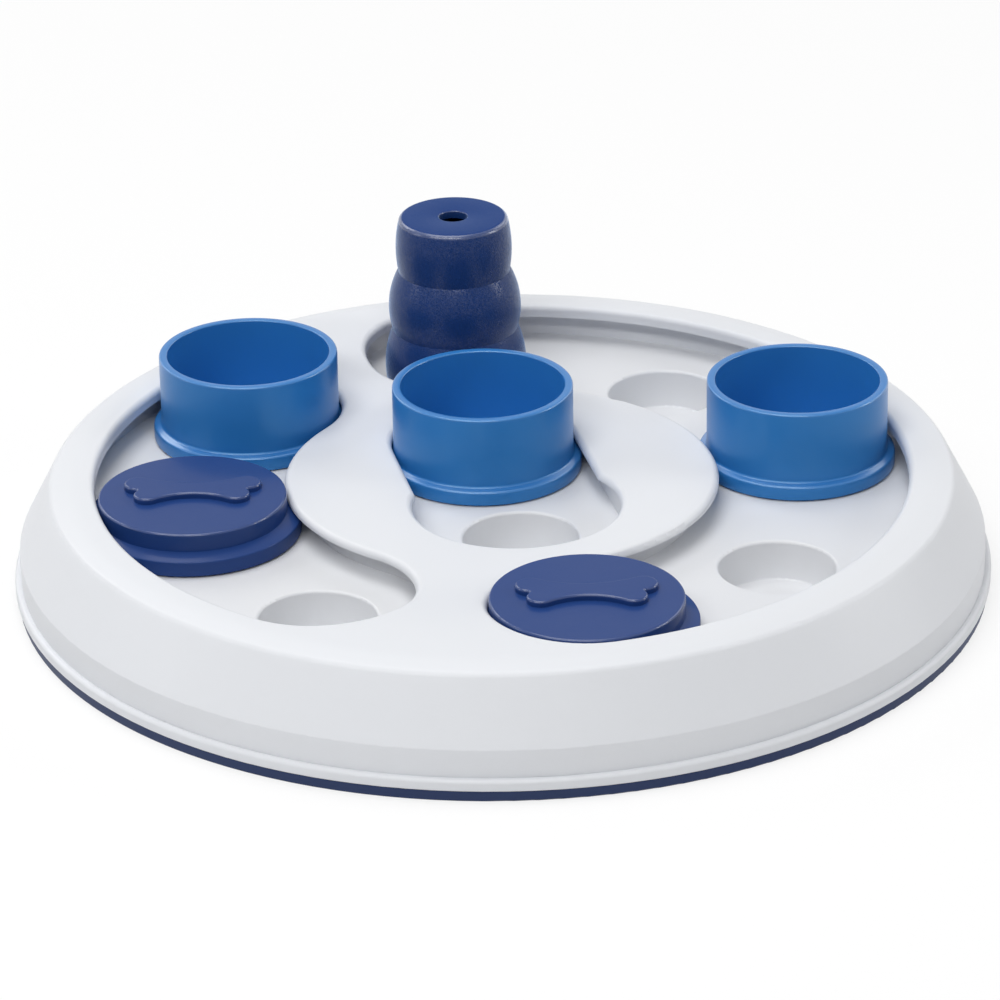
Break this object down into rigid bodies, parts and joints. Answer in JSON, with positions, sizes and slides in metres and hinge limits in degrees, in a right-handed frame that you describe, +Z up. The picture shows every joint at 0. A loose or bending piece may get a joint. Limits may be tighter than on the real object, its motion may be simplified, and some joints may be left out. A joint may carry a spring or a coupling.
{
  "type": "dog puzzle feeder toy",
  "caption": "Round dog puzzle feeder: a dished cover with arc and straight slots over treat wells, sliding cups and lids, and a lift-out hollow cone.",
  "frame": {"origin": "on the floor under the middle of the board", "axes": "+Z up, -Y towards the side shown as the front, +X to the right of someone facing that side"},
  "size_m": [0.23, 0.23, 0.0619],
  "materials": {
    "grey_cover": "moulded, soft satin",
    "grey_tray": "moulded, soft satin",
    "blue_cup": "moulded, satin gloss",
    "navy_lid": "moulded, satin",
    "navy_cone": "fine moulded grain, smooth top",
    "navy_base": "moulded, satin",
    "foot_rubber": "soft matt rubber",
    "screw_steel": "zinc plated"
  },
  "bodies": {
    "board": {"top_cover": "grey_cover", "well_tray": "grey_tray", "base_plate": "navy_base", "base_screws": "screw_steel", "foot_1": "foot_rubber", "foot_2": "foot_rubber", "foot_3": "foot_rubber", "foot_4": "foot_rubber", "foot_5": "foot_rubber", "foot_6": "foot_rubber"},
    "cup_left": {"slide_cup_left": "blue_cup"},
    "lid_left": {"slide_lid_left": "navy_lid"},
    "cup_right": {"slide_cup_right": "blue_cup"},
    "lid_front": {"slide_lid_front": "navy_lid"},
    "cup_centre": {"slide_cup_centre": "blue_cup"},
    "cone": {"treat_cone": "navy_cone"}
  },
  "joints": [
    {"name": "cup_left_travel", "type": "hinge", "parent": "board", "child": "cup_left", "pos_m": [0, 0, 0.0189], "axis": [0, 0, 1], "range_deg": [0, 5.6]},
    {"name": "lid_left_travel", "type": "hinge", "parent": "board", "child": "lid_left", "pos_m": [0, 0, 0.0189], "axis": [0, 0, 1], "range_deg": [0, 44.1]},
    {"name": "cup_right_travel", "type": "hinge", "parent": "board", "child": "cup_right", "pos_m": [0, 0, 0.0189], "axis": [0, 0, 1], "range_deg": [-4, 50]},
    {"name": "lid_front_travel", "type": "hinge", "parent": "board", "child": "lid_front", "pos_m": [0, 0, 0.0189], "axis": [0, 0, 1], "range_deg": [0, 44.2]},
    {"name": "cup_centre_slide", "type": "slide", "parent": "board", "child": "cup_centre", "axis": [0.2079, -0.9781, 0], "range_m": [0, 0.0385]},
    {"name": "cone_lift", "type": "slide", "parent": "board", "child": "cone", "axis": [0, 0, 1], "range_m": [0, 0.06]}
  ]
}
